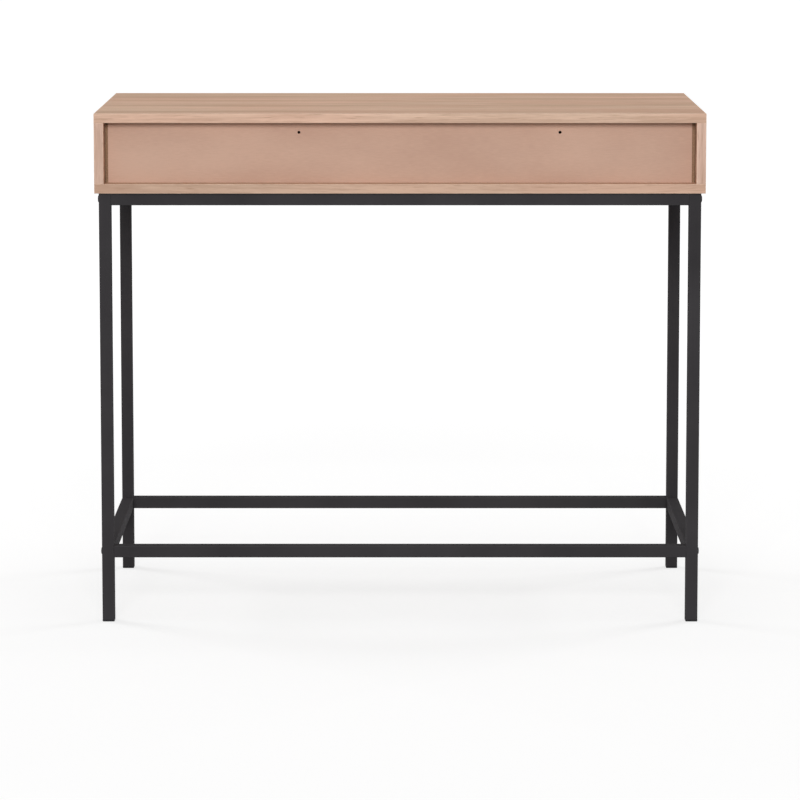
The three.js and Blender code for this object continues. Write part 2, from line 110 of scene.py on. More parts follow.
class Graph:
    """Adds and joins the nodes of one material or node group."""

    def __init__(self, tree: bpy.types.NodeTree) -> None:
        """Starts on a node tree."""
        self.tree = tree

    def add(self, kind: str, inputs: Mapping[Any, Any] | None = None, **settings: Any) -> bpy.types.Node:
        """Adds one node.

        Args:
            kind: The node's type, without its ShaderNode prefix.
            inputs: A value or a source socket for each input, by name or index.
            **settings: Properties of the node.

        Returns:
            The new node.
        """
        node = self.tree.nodes.new("ShaderNode" + kind)
        for name, value in settings.items():
            setattr(node, name, value)
        self.feed(node, inputs or {})
        return node

    def feed(self, node: bpy.types.Node, inputs: Mapping[Any, Any]) -> None:
        """Sets a node's inputs.

        Args:
            node: The node.
            inputs: A value or a source socket for each input, by name or index.
        """
        for name, value in inputs.items():
            if isinstance(value, bpy.types.NodeSocket):
                self.tree.links.new(value, node.inputs[name])
            else:
                node.inputs[name].default_value = value

    def group(self, tree: bpy.types.NodeTree, inputs: Mapping[Any, Any]) -> Any:
        """The outputs of a node group that is placed here and fed."""
        return self.add("Group", inputs, node_tree=tree).outputs

    def math(self, operation: str, first: Any, second: Any = 0.0) -> bpy.types.NodeSocket:
        """The result of one arithmetic step on two values or sockets."""
        return self.add("Math", {0: first, 1: second}, operation=operation).outputs[0]

    def weighted(self, *terms: tuple[Any, float]) -> bpy.types.NodeSocket:
        """Adds up values, each times its own weight.

        Args:
            *terms: Each value or socket, and its weight.

        Returns:
            The sum.
        """
        total: Any = 0.0
        for value, weight in terms:
            total = self.add("Math", {0: value, 1: weight, 2: total}, operation="MULTIPLY_ADD").outputs[0]
        return total

    def mix(self, factor: Any, first: Any, second: Any, blend: str = "MIX") -> bpy.types.NodeSocket:
        """The blend of two colours by a factor."""
        inputs = {0: factor, 6: first, 7: second}
        return self.add("Mix", inputs, data_type="RGBA", blend_type=blend).outputs[2]

    def shaded(self, colour: Any, shade: Any) -> bpy.types.NodeSocket:
        """A colour made lighter or darker by a value about 1."""
        grey = self.add("CombineColor", {0: shade, 1: shade, 2: shade}).outputs[0]
        return self.mix(1.0, colour, grey, blend="MULTIPLY")

    def stretched(self, vector: Any, scale: Sequence[float]) -> bpy.types.NodeSocket:
        """A coordinate scaled by its own factor along each axis."""
        return self.add("Mapping", {"Vector": vector, "Scale": tuple(scale)}).outputs[0]

    def noise(self, vector: Any, scale: float = 1.0, detail: float = 2.0) -> bpy.types.NodeSocket:
        """A noise value about 0.5 at a coordinate."""
        return self.add("TexNoise", {"Vector": vector, "Scale": scale, "Detail": detail}).outputs[0]

    def fibre(self, vector: Any, along: float, across: float, detail: float = 2.0) -> bpy.types.NodeSocket:
        """A noise value drawn out along X, from how fine it is along X and across it, per metre."""
        return self.noise(self.stretched(vector, (along, across, across)), detail=detail)

    def remap(self, value: Any, low: float, high: float, start: float = 0.0, end: float = 1.0) -> Any:
        """A value brought from low..high to start..end, and held there."""
        settings = {"Value": value, 1: low, 2: high, 3: start, 4: end}
        return self.add("MapRange", settings, clamp=True).outputs[0]


SOCKETS = {"value": "NodeSocketFloat", "colour": "NodeSocketColor", "vector": "NodeSocketVector"}


def new_group(name: str, inputs: Mapping[str, str], outputs: Mapping[str, str]) -> tuple[Graph, Any, Any]:
    """Starts a shader node group.

    Args:
        name: The group's name.
        inputs: The kind of each input socket, by name.
        outputs: The kind of each output socket, by name.

    Returns:
        The group's graph, the outputs of its input node and the node to feed its outputs to.
    """
    tree = bpy.data.node_groups.new(name, "ShaderNodeTree")
    for way, sockets in (("INPUT", inputs), ("OUTPUT", outputs)):
        for label, kind in sockets.items():
            tree.interface.new_socket(label, in_out=way, socket_type=SOCKETS[kind])
    given = tree.nodes.new("NodeGroupInput").outputs
    return Graph(tree), given, tree.nodes.new("NodeGroupOutput")


@lru_cache(maxsize=None)
def oak_grain() -> bpy.types.NodeTree:
    """Oak as a printed foil shows it: long bands, finer streaks and short dark pores, along X.

    Returns:
        The group, with a colour and a height.
    """
    graph, given, out = new_group(
        "oak_grain",
        {"Vector": "vector", "Light": "colour", "Dark": "colour", "Pore": "colour", "Figure": "value"},
        {"Colour": "colour", "Height": "value"},
    )
    place = given["Vector"]
    sway = graph.fibre(place, along=2.2, across=5.0, detail=1.0)
    shift = graph.math("MULTIPLY", graph.math("SUBTRACT", sway, 0.5), 0.03)
    moved = graph.add("CombineXYZ", {"Y": shift, "Z": shift}).outputs[0]
    swayed = graph.add("VectorMath", {0: place, 1: moved}, operation="ADD").outputs[0]

    bands = graph.fibre(swayed, along=1.3, across=26.0)
    streaks = graph.fibre(swayed, along=7.0, across=210.0, detail=3.0)
    fibres = graph.fibre(swayed, along=40.0, across=1500.0, detail=1.0)
    pores = graph.remap(graph.fibre(swayed, along=28.0, across=900.0), 0.6, 0.72)
    rings = {"Scale": 1.0, "Distortion": 5.0, "Detail": 2.0, "Detail Scale": 1.2}
    rings["Vector"] = graph.stretched(swayed, (0.9, 22.0, 22.0))
    wave = graph.add("TexWave", rings, bands_direction="Y").outputs["Fac"]
    figure = graph.math("MULTIPLY", graph.math("SUBTRACT", wave, 0.5), given["Figure"])
    tone = graph.weighted((bands, 0.45), (streaks, 0.35), (fibres, 0.2))
    tone = graph.remap(graph.math("ADD", tone, figure), 0.4, 0.6)

    patch = graph.remap(graph.fibre(place, along=3.0, across=9.0, detail=1.0), 0.4, 0.62)
    warmth = graph.mix(patch, (1.02, 0.985, 0.97, 1.0), (0.98, 1.0, 0.985, 1.0))
    colour = graph.mix(1.0, graph.mix(tone, given["Dark"], given["Light"]), warmth, blend="MULTIPLY")
    colour = graph.mix(graph.math("MULTIPLY", pores, 0.55), colour, given["Pore"])
    graph.feed(out, {"Colour": colour, "Height": graph.weighted((streaks, 0.3), (pores, -1.0))})
    return graph.tree


@lru_cache(maxsize=None)
def arris_wear_and_highlight() -> bpy.types.NodeTree:
    """The paler colour along the rounded edges of a piece, broken up in patches: partly rubbed pale by
    handling, partly a painted highlight on the arris.

    Returns:
        The group, with a colour.
    """
    graph, given, out = new_group(
        "arris_wear_and_highlight",
        {"Vector": "vector", "Colour": "colour", "Worn_and_highlight": "colour", "Edge": "value", "Amount": "value"},
        {"Colour": "colour"},
    )
    patches = graph.remap(graph.noise(given["Vector"], 90.0, 3.0), 0.35, 0.6, 0.35, 1.0)
    mask = graph.math("MULTIPLY", graph.math("MULTIPLY", patches, given["Edge"]), given["Amount"])
    graph.feed(out, {"Colour": graph.mix(mask, given["Colour"], given["Worn_and_highlight"])})
    return graph.tree


@lru_cache(maxsize=None)
def fine_dust() -> bpy.types.NodeTree:
    """A thin, uneven film of dust and handling that changes tone and gloss.

    Returns:
        The group, with a colour and a roughness.
    """
    graph, given, out = new_group(
        "fine_dust",
        {"Vector": "vector", "Colour": "colour", "Dust": "colour", "Amount": "value", "Roughness": "value"},
        {"Colour": "colour", "Roughness": "value"},
    )
    broad = graph.noise(given["Vector"], 11.0, 3.0)
    specks = graph.remap(graph.noise(given["Vector"], 1400.0, 1.0), 0.62, 0.78)
    film = graph.weighted((graph.remap(broad, 0.35, 0.7), 1.0), (specks, 1.5))
    mask = graph.math("MULTIPLY", film, given["Amount"])
    spread = graph.weighted((graph.math("SUBTRACT", broad, 0.5), 0.06), (mask, 1.0))
    colour = graph.mix(mask, given["Colour"], given["Dust"])
    graph.feed(out, {"Colour": colour, "Roughness": graph.math("ADD", given["Roughness"], spread)})
    return graph.tree


@lru_cache(maxsize=None)
def orange_peel() -> bpy.types.NodeTree:
    """The fine, soft ripple of powder coat or moulded plastic.

    Returns:
        The group, with a height.
    """
    graph, given, out = new_group("orange_peel", {"Vector": "vector", "Pitch": "value"}, {"Height": "value"})
    fine = {"Vector": given["Vector"], "Scale": graph.math("DIVIDE", 1.0, given["Pitch"])}
    ripple = graph.add("TexNoise", {**fine, "Detail": 1.5}).outputs[0]
    grit = graph.add("TexVoronoi", fine, feature="SMOOTH_F1").outputs["Distance"]
    graph.feed(out, {"Height": graph.weighted((ripple, 1.0), (grit, 0.4))})
    return graph.tree


# ------------------------------------------------------------------ finishes


@dataclass(frozen=True)
class Skin:
    """How a finish rubs pale along rounded edges, where the pale colour is also a painted highlight, gathers
    dust and takes light.
    """

    worn_and_highlight: Colour
    dust: Colour
    roughness: float
    specular: float
    relief: float
    wear_and_highlight: float = 0.5
    dustiness: float = 0.05
    bump: float = 0.35

    def over(self, graph: Graph, place: Any, colour: Any, height: Any) -> dict[str, Any]:
        """Lays the rubbed edges, with their painted highlight, and the dust over a colour.

        Args:
            graph: The material's graph.
            place: The coordinate's socket.
            colour: The clean colour's socket.
            height: The relief's socket.

        Returns:
            What goes into the shader.
        """
        edge = graph.add("Attribute", attribute_name="arris").outputs["Fac"]
        # The pale arris colour is partly rubbed finish and partly a painted highlight along the rounded
        # edges.
        rub_and_highlight = {"Colour": colour, "Worn_and_highlight": self.worn_and_highlight, "Edge": edge, "Amount": self.wear_and_highlight}
        worn_and_highlight = graph.group(arris_wear_and_highlight(), {"Vector": place, **rub_and_highlight})
        film = {"Dust": self.dust, "Amount": self.dustiness, "Roughness": self.roughness}
        dusty = graph.group(fine_dust(), {"Vector": place, "Colour": worn_and_highlight["Colour"], **film})
        relief = graph.add("Bump", {"Height": height, "Strength": self.bump, "Distance": self.relief})
        return {
            "Base Color": dusty["Colour"],
            "Roughness": dusty["Roughness"],
            "Specular IOR Level": self.specular,
            "Normal": relief.outputs[0],
        }


@dataclass(frozen=True)
class Finish:
    """A finish of the desk. Each kind says what goes into its shader."""

    name: str

    def inputs(self, graph: Graph, place: Any) -> dict[str, Any]:
        """Builds the finish's nodes.

        Args:
            graph: The material's graph.
            place: The Object coordinate's socket.

        Returns:
            What goes into the shader, by input.
        """
        raise NotImplementedError

    def material(self) -> bpy.types.Material:
        """Builds the finish's material.

        Returns:
            The material.
        """
        material = bpy.data.materials.new(self.name)
        material.use_nodes = True
        graph = Graph(material.node_tree)
        place = graph.add("TexCoord").outputs["Object"]
        graph.feed(material.node_tree.nodes["Principled BSDF"], self.inputs(graph, place))
        return material


@dataclass(frozen=True)
class OakFoil(Finish):
    """Light oak-look foil or edge band."""

    grain: Axis
    offset: tuple[float, float, float]
    light: Colour = srgb(225, 189, 163)
    dark: Colour = srgb(194, 156, 131)
    pore: Colour = srgb(165, 129, 105)
    figure: float = 0.1
    # The pale arris colour (240, 214, 192) is partly rubbed finish and partly a painted highlight on the
    # rounded band edges.
    skin: Skin = Skin(srgb(240, 214, 192), srgb(226, 206, 188), 0.58, 0.05, 0.08 * MM, wear_and_highlight=0.55)

    def inputs(self, graph: Graph, place: Any) -> dict[str, Any]:
        """Oak grain along the foil's own axis.

        Args:
            graph: The material's graph.
            place: The Object coordinate's socket.

        Returns:
            What goes into the shader, by input.
        """
        turn = {"Vector": place, "Rotation": self.grain.grain_turn, "Location": self.offset}
        place = graph.add("Mapping", turn).outputs[0]
        colours = {"Light": self.light, "Dark": self.dark, "Pore": self.pore, "Figure": self.figure}
        grain = graph.group(oak_grain(), {"Vector": place, **colours})
        return self.skin.over(graph, place, grain["Colour"], grain["Height"])


@dataclass(frozen=True)
class PlainFoil(Finish):
    """Smooth foil with a faint mottle, as on a back panel or inside a drawer."""

    colour: Colour
    mottle: Colour
    worn_and_highlight: Colour

    def inputs(self, graph: Graph, place: Any) -> dict[str, Any]:
        """A soft mottle with fine flecks.

        Args:
            graph: The material's graph.
            place: The Object coordinate's socket.

        Returns:
            What goes into the shader, by input.
        """
        soft = graph.fibre(place, along=6.0, across=14.0, detail=3.0)
        fleck = graph.fibre(place, along=90.0, across=700.0)
        tone = graph.remap(graph.weighted((soft, 0.65), (fleck, 0.35)), 0.38, 0.62)
        skin = Skin(self.worn_and_highlight, srgb(214, 198, 184), 0.62, 0.05, 0.05 * MM, bump=0.2)
        return skin.over(graph, place, graph.mix(tone, self.mottle, self.colour), fleck)


@dataclass(frozen=True)
class RawBoard(Finish):
    """Bare chipboard, where a hole is drilled through the foil or the back panel is rebated; on the rebates
    its dark colour also paints the shade along the panel's sides.
    """

    def inputs(self, graph: Graph, place: Any) -> dict[str, Any]:
        """Pressed chips, each of its own tone.

        Args:
            graph: The material's graph.
            place: The Object coordinate's socket.

        Returns:
            What goes into the shader, by input.
        """
        chips = graph.add("TexVoronoi", {"Vector": place, "Scale": 900.0}).outputs["Distance"]
        relief = graph.add("Bump", {"Height": chips, "Strength": 0.6, "Distance": 0.3 * MM}).outputs[0]
        colour = graph.mix(chips, srgb(132, 100, 76), srgb(176, 141, 112))
        return {"Base Color": colour, "Roughness": 0.9, "Normal": relief}


@dataclass(frozen=True)
class Coated(Finish):
    """Powder-coated steel or moulded plastic, with its orange peel."""

    colour: Colour
    worn_and_highlight: Colour
    roughness: float
    specular: float
    pitch: float
    relief: float

    def inputs(self, graph: Graph, place: Any) -> dict[str, Any]:
        """A faintly clouded coat over fine ripples.

        Args:
            graph: The material's graph.
            place: The Object coordinate's socket.

        Returns:
            What goes into the shader, by input.
        """
        cloud = graph.remap(graph.noise(place, 7.0, 3.0), 0.3, 0.7, 0.88, 1.12)
        peel = graph.group(orange_peel(), {"Vector": place, "Pitch": self.pitch})
        light = {"roughness": self.roughness, "specular": self.specular, "relief": self.relief}
        skin = Skin(self.worn_and_highlight, srgb(120, 118, 118), **light, wear_and_highlight=0.45, dustiness=0.04, bump=0.5)
        return skin.over(graph, place, graph.shaded(self.colour, cloud), peel["Height"])


@dataclass(frozen=True)
class Plated(Finish):
    """Zinc-plated or ground steel."""

    colour: Colour
    roughness: float
    spangle: float

    def inputs(self, graph: Graph, place: Any) -> dict[str, Any]:
        """Bare metal with fine drawn lines and a soft cloud.

        Args:
            graph: The material's graph.
            place: The Object coordinate's socket.

        Returns:
            What goes into the shader, by input.
        """
        cloud = graph.noise(place, 60.0, 3.0)
        lines = graph.noise(graph.stretched(place, (300.0, 12.0, 900.0)))
        tone = graph.remap(graph.weighted((cloud, 0.5), (lines, 1.0)), 0.55, 0.95, 0.8, 1.1)
        relief = graph.add("Bump", {"Height": lines, "Strength": 0.15, "Distance": 0.05 * MM})
        return {
            "Base Color": graph.mix(self.spangle, self.colour, graph.shaded(self.colour, tone)),
            "Roughness": graph.remap(cloud, 0.3, 0.7, self.roughness - 0.07, self.roughness + 0.09),
            "Metallic": 1.0,
            "Normal": relief.outputs[0],
        }


BACK_FOIL = PlainFoil("back_foil", srgb(207, 171, 151), srgb(197, 161, 142), srgb(226, 196, 176))
DRAWER_FOIL = PlainFoil("drawer_foil", srgb(226, 208, 188), srgb(216, 197, 176), srgb(236, 222, 206))
RAW_BOARD_AND_SHADE = RawBoard("raw_board_and_shade")
FRAME_COAT = Coated("frame_coat", srgb(60, 58, 60), srgb(72, 70, 72), 0.6, 0.003, 1.1 * MM, 0.06 * MM)
KNOB_COAT = Coated("knob_coat", srgb(46, 45, 47), srgb(84, 82, 82), 0.38, 0.35, 0.8 * MM, 0.015 * MM)
FOOT_PLASTIC = Coated("foot_plastic", srgb(36, 36, 38), srgb(60, 60, 62), 0.6, 0.1, 0.5 * MM, 0.02 * MM)
ZINC = Plated("zinc_plate", srgb(196, 199, 203), 0.34, 0.8)
BALL_STEEL = Plated("ball_steel", srgb(214, 216, 220), 0.16, 0.2)


@lru_cache(maxsize=None)
def material_of(finish: Finish) -> bpy.types.Material:
    """The finish's material, built the first time it is asked for."""
    return finish.material()


# ------------------------------------------------------------------ pieces


def place_object(name: str, data: bpy.types.ID, at: Sequence[float] = (0, 0, 0)) -> bpy.types.Object:
    """Puts a new object into the scene.

    Args:
        name: The object's name.
        data: Its mesh, camera or light.
        at: Its place.

    Returns:
        The object.
    """
    placed = bpy.data.objects.new(name, data)
    placed.location = at
    bpy.context.scene.collection.objects.link(placed)
    return placed


def pointing(direction: Vector, at: Vector) -> Matrix:
    """The place of a turned shape whose top points along a direction."""
    return Matrix.Translation(at) @ direction.to_track_quat("Z", "Y").to_matrix().to_4x4()


def quarter_arc(centre: Sequence[float], radius: float, start: float, end: float, steps: int = 6) -> list:
    """Points of an arc in a lathe profile.

    Args:
        centre: The arc's centre, as distance from the axis and height.
        radius: The arc's radius.
        start: The angle of its first point in degrees, from straight out.
        end: The angle of its last point in degrees.
        steps: How many stretches it has.

    Returns:
        The points, as distance from the axis and height.
    """
    turns = [math.radians(start + (end - start) * step / steps) for step in range(steps + 1)]
    return [(centre[0] + radius * math.cos(t), centre[1] + radius * math.sin(t)) for t in turns]


class Piece:
    """One visible piece: the mesh in the making, its finishes, and the CAD node that it stands for."""

    def __init__(self, node: str, body: str, slot: str, *finishes: Finish) -> None:
        """Starts an empty piece.

        Args:
            node: The CAD node that it stands for, whose corners it then knows.
            body: The CAD body that it moves with.
            slot: The record's material slot. It is kept, but not used.
            *finishes: Its finishes. A face's finish is an index into them.
        """
        self.node, self.body, self.slot, self.finishes = node, body, slot, finishes
        self.low, self.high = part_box(node)
        self.bm = bmesh.new()
        self.arris = self.bm.faces.layers.float.new("arris")

    @property
    def middle(self) -> Vector:
        """The middle of the CAD node's box."""
        return (self.low + self.high) / 2

    def between(self, verts: Iterable[bmesh.types.BMVert]) -> list[bmesh.types.BMEdge]:
        """The edges that have both ends among some vertices."""
        chosen = set(verts)
        return [edge for edge in self.bm.edges if chosen.issuperset(edge.verts)]

    def level(self, axis: Axis, at: float) -> list[bmesh.types.BMEdge]:
        """The edges that lie at one level along an axis."""
        return self.between(vert for vert in self.bm.verts if abs(vert.co[axis.value] - at) < TOUCH)

    def draw_out(self, edges: Sequence[bmesh.types.BMEdge]) -> list[bmesh.types.BMVert]:
        """Extrudes open edges where they are, and gives the new vertices."""
        made = bmesh.ops.extrude_edge_only(self.bm, edges=edges)["geom"]
        return [item for item in made if isinstance(item, bmesh.types.BMVert)]

    def round_edges(self, edges: Sequence[bmesh.types.BMEdge], radius: float, segments: int = 3) -> None:
        """Rounds edges and marks the new faces as arrises.

        Args:
            edges: The edges.
            radius: The rounding's radius.
            segments: How many flats make up the rounding.
        """
        cut = {"affect": "EDGES", "profile": 0.5, "material": -1, "clamp_overlap": True}
        made = bmesh.ops.bevel(self.bm, geom=edges, offset=radius, segments=segments, **cut)
        for face in made["faces"]:
            face[self.arris] = 1.0

    def box(self, low: Vector, high: Vector, finish: int = 0) -> list[bmesh.types.BMVert]:
        """Adds a plain box.

        Args:
            low: Its lowest corner.
            high: Its highest corner.
            finish: The index of its finish.

        Returns:
            Its vertices.
        """
        place = Matrix.LocRotScale((low + high) / 2, None, high - low)
        verts = bmesh.ops.create_cube(self.bm, size=1.0, matrix=place)["verts"]
        for vert in verts:
            for face in vert.link_faces:
                face.material_index = finish
        return verts

    def block(self, low: Vector, high: Vector, radius: float, segments: int = 3) -> None:
        """Adds a box with all its edges rounded.

        Args:
            low: Its lowest corner.
            high: Its highest corner.
            radius: The rounding's radius.
            segments: How many flats make up the rounding.
        """
        self.round_edges(self.between(self.box(low, high)), radius, segments)

    def prism(self, outline: Sequence[Vector], along: Vector) -> None:
        """Adds a solid with a flat outline, drawn out along a line.

        Args:
            outline: The corners of its first end, in order.
            along: The way from its first end to its last.
        """
        face = self.bm.faces.new([self.bm.verts.new(corner) for corner in outline])
        made = bmesh.ops.extrude_face_region(self.bm, geom=[face])
        fresh = [item for item in made["geom"] if isinstance(item, bmesh.types.BMVert)]
        bmesh.ops.translate(self.bm, vec=along, verts=fresh)
        bmesh.ops.recalc_face_normals(self.bm, faces=self.bm.faces[:])

    def pierce(self, centre: Vector, outward: Vector, radius: float, steps: int = 24) -> list:
        """Opens a round hole in the flat face that a point lies on.

        Args:
            centre: The hole's centre, on the face.
            outward: The face's outward normal, along an axis.
            radius: The hole's radius.
            steps: How many edges it has. A multiple of four.

        Returns:
            The edges round the hole.
        """
        margin = radius * COLLAR
        for direction in (axis.unit for axis in Axis if not parallel(axis.unit, outward)):
            for side in (-margin, margin):
                host = self._holder(centre, outward)
                parts = [host, *host.edges, *host.verts]
                cut = centre + direction * side
                bmesh.ops.bisect_plane(self.bm, geom=parts, plane_co=cut, plane_no=direction)
        square = self._holder(centre, outward)
        sides = square.edges[:]
        bmesh.ops.delete(self.bm, geom=[square], context="FACES_ONLY")
        bmesh.ops.subdivide_edges(self.bm, edges=sides, cuts=steps // 4 - 1)
        reach = margin * math.sqrt(2) + 0.01 * radius
        near = self.between(vert for vert in self.bm.verts if (vert.co - centre).length < reach)
        ring = self.draw_out([edge for edge in near if edge.is_boundary])
        place, pitch = pointing(outward, centre), math.tau / steps
        for vert in ring:
            local = place.inverted() @ vert.co
            angle = round(math.atan2(local.y, local.x) / pitch) * pitch
            vert.co = place @ Vector((radius * math.cos(angle), radius * math.sin(angle), 0.0))
        return self.between(ring)

    def _holder(self, point: Vector, outward: Vector) -> bmesh.types.BMFace:
        """Finds the smallest face that faces a given way and has a point inside its outline.

        Args:
            point: The point.
            outward: The way that the face faces.

        Returns:
            The face.
        """
        self.bm.normal_update()
        axes = [axis.value for axis in Axis if not parallel(axis.unit, outward)]

        def holds(face: bmesh.types.BMFace) -> bool:
            """Tells whether a face will do.

            Args:
                face: The face.

            Returns:
                Whether it faces the given way and has the point inside it.
            """
            gap = abs((face.verts[0].co - point).dot(outward))
            facing = face.normal.dot(outward) > 0 and parallel(face.normal, outward)
            if gap > 10 * TOUCH or not facing:
                return False
            spans = [[vert.co[axis] for vert in face.verts] for axis in axes]
            return all(min(span) < point[axis] < max(span) for axis, span in zip(axes, spans))

        return min((face for face in self.bm.faces if holds(face)), key=lambda face: face.calc_area())

    def tube(self, run: Axis, corner: float, wall: float, holes: Sequence[tuple] = ()) -> None:
        """Adds a length of open square tube, as big as the CAD node.

        Args:
            run: The axis that it runs along.
            corner: The outer corner radius.
            wall: The wall's thickness.
            holes: Each hole's centre, outward direction and radius.
        """
        self.box(self.low, self.high)
        self.bm.normal_update()
        ends = [face for face in self.bm.faces if parallel(face.normal, run.unit)]
        bmesh.ops.delete(self.bm, geom=ends, context="FACES_ONLY")
        edges = [e for e in self.bm.edges if parallel(e.verts[0].co - e.verts[1].co, run.unit)]
        self.round_edges(edges, corner, 4)
        for hole in holes:
            self.pierce(*hole)
        bmesh.ops.solidify(self.bm, geom=self.bm.faces[:], thickness=wall)

    def turned(
        self, profile: Sequence[tuple[float, float]], place: Matrix, steps: int
    ) -> list[bmesh.types.BMVert]:
        """Adds a turned shape.

        Args:
            profile: Its outline, as distance from the axis and height.
            place: Where it goes. Its axis is Z before that.
            steps: How many faces it has round its axis.

        Returns:
            Its vertices.
        """
        before = set(self.bm.verts)
        verts = [self.bm.verts.new((radius, 0.0, height)) for radius, height in profile]
        edges = [self.bm.edges.new(pair) for pair in zip(verts, verts[1:])]
        turn = {"cent": (0, 0, 0), "axis": (0, 0, 1), "angle": math.tau, "use_merge": True}
        bmesh.ops.spin(self.bm, geom=[*verts, *edges], steps=steps, **turn)
        made = [vert for vert in self.bm.verts if vert not in before]
        bmesh.ops.remove_doubles(self.bm, verts=made, dist=TOUCH)
        made = [vert for vert in self.bm.verts if vert not in before]
        faces = list({face for vert in made for face in vert.link_faces})
        bmesh.ops.recalc_face_normals(self.bm, faces=faces)
        bmesh.ops.transform(self.bm, matrix=place, verts=made)
        return made

    def recess(self, rim: Sequence, place: Matrix, outline: Callable[[float], float], drop: float) -> list:
        """Extrudes an open rim to a new outline and height.

        Args:
            rim: The rim's vertices.
            place: The place of the turned shape that the rim belongs to.
            outline: The new distance from the axis, from the angle round it.
            drop: How far below the old rim the new one lies, along the axis.

        Returns:
            The new rim's vertices.
        """
        fresh = self.draw_out(self.between(rim))
        for vert in fresh:
            local = place.inverted() @ vert.co
            angle = math.atan2(local.y, local.x)
            reach = outline(angle)
            vert.co = place @ Vector((reach * math.cos(angle), reach * math.sin(angle), local.z - drop))
        return fresh

    def done(self, sharp: float = 35.0) -> None:
        """Writes the mesh, dresses it and ties it to the frame.

        Args:
            sharp: Edges that turn by more than this, in degrees, stay sharp.
        """
        bmesh.ops.delete(self.bm, geom=[v for v in self.bm.verts if not v.link_faces], context="VERTS")
        name = f"{self.node}_piece"
        mesh = bpy.data.meshes.new(name)
        self.bm.to_mesh(mesh)
        self.bm.free()
        for finish in self.finishes:
            mesh.materials.append(material_of(finish))
        mesh.shade_smooth()
        mesh.set_sharp_from_angle(angle=math.radians(sharp))
        piece = place_object(name, mesh)
        piece.modifiers.new("weighted_normals", "WEIGHTED_NORMAL").keep_sharp = True
        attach(piece, self.body)
        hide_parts(self.node)
        log.info("%s: %d faces, on %s", name, len(mesh.polygons), self.body)


def hexagon(width: float) -> Callable[[float], float]:
    """The outline of a hexagon.

    Args:
        width: Its size across flats.

    Returns:
        Its distance from the middle, from the angle round it.
    """
    sixth = math.pi / 3
    return lambda angle: width / 2 / math.cos(angle % sixth - sixth / 2)


def cross(arm: float, waist: float) -> Callable[[float], float]:
    """The outline of a cross recess.

    Args:
        arm: How far its arms reach.
        waist: How far out its inner corners lie.

    Returns:
        Its distance from the middle, from the angle round it.
    """
    return lambda angle: waist + (arm - waist) * abs(math.cos(2 * angle)) ** 6


@dataclass(frozen=True)
class Fastener:
    """A bolt or screw: a domed head with a recess, and its shank.

    The brow is the rim round the recess, the lead is the depth of its mouth, and the bearing is the
    relief under the head's edge. The side is a share of the head's height and the tip one of the
    shank's radius. The arm, the waist and the flats are shares of the recess's radius, and the taper
    is the share of its outline that its floor has.
    """

    head: float
    height: float
    shank: float
    length: float
    recess: float
    depth: float
    crossed: bool = True
    brow: float = 0.5 * MM
    lead: float = 0.1 * MM
    bearing: float = 0.2 * MM
    side: float = 0.2
    tip: float = 0.6
    arm: float = 0.95
    waist: float = 0.45
    flats: float = 1.7
    taper: float = 0.6

    def add_to(self, piece: Piece, at: Vector, direction: Vector, finish: int = 0) -> None:
        """Adds the fastener to a piece.

        Args:
            piece: The piece.
            at: Where its head bears.
            direction: The way its head points.
            finish: The index of its finish.
        """
        place = pointing(direction, at)
        brow, shoulder, neck = self.recess + self.brow, self.head / 2, self.shank / 2
        rises = [math.radians(15 * step) for step in range(7)]
        side, crown = self.side * self.height, (1 - self.side) * self.height
        profile = [
            (0.0, -self.length),
            (neck * self.tip, -self.length),
            (neck, -self.length + self.shank / 3),
            (neck, 0.0),
            (shoulder - self.bearing, 0.0),
            *((brow + (shoulder - brow) * math.cos(t), side + crown * math.sin(t)) for t in rises),
            (self.recess, self.height),
        ]
        made = piece.turned(profile, place, 24 if self.crossed else 36)
        top = place @ Vector((0, 0, self.height))
        rim = [
            vert
            for vert in made
            if abs((vert.co - top).dot(direction)) < 10 * TOUCH
            and (vert.co - top).length < self.recess + self.lead
        ]
        socket, taper = hexagon(self.recess * self.flats), 1.0
        if self.crossed:
            socket, taper = cross(self.recess * self.arm, self.recess * self.waist), self.taper
        mouth = piece.recess(rim, place, socket, self.lead)
        floor = piece.recess(mouth, place, lambda angle: socket(angle) * taper, self.depth)
        bmesh.ops.edgeloop_fill(piece.bm, edges=piece.between(floor))
        faces = list({face for vert in [*made, *mouth, *floor] for face in vert.link_faces})
        bmesh.ops.recalc_face_normals(piece.bm, faces=faces)
        for face in faces:
            face.material_index = finish


BOLT = Fastener(10.5 * MM, 1.6 * MM, 6 * MM, 30 * MM, 2.0 * MM, 2.4 * MM, crossed=False)
CASE_SCREW = Fastener(9 * MM, 2.6 * MM, 4 * MM, 11.2 * MM, 2.4 * MM, 1.6 * MM)
KNOB_SCREW = Fastener(9 * MM, 2.6 * MM, 4 * MM, 25 * MM, 2.4 * MM, 1.6 * MM)
SLIDE_SCREW = Fastener(6.6 * MM, 1.7 * MM, 3.4 * MM, 1.1 * MM, 1.7 * MM, 1.0 * MM)
FLUSH_SCREW = Fastener(7 * MM, 0.25 * MM, 3.4 * MM, 1.1 * MM, 1.8 * MM, 0.7 * MM)


# ------------------------------------------------------------------ boards


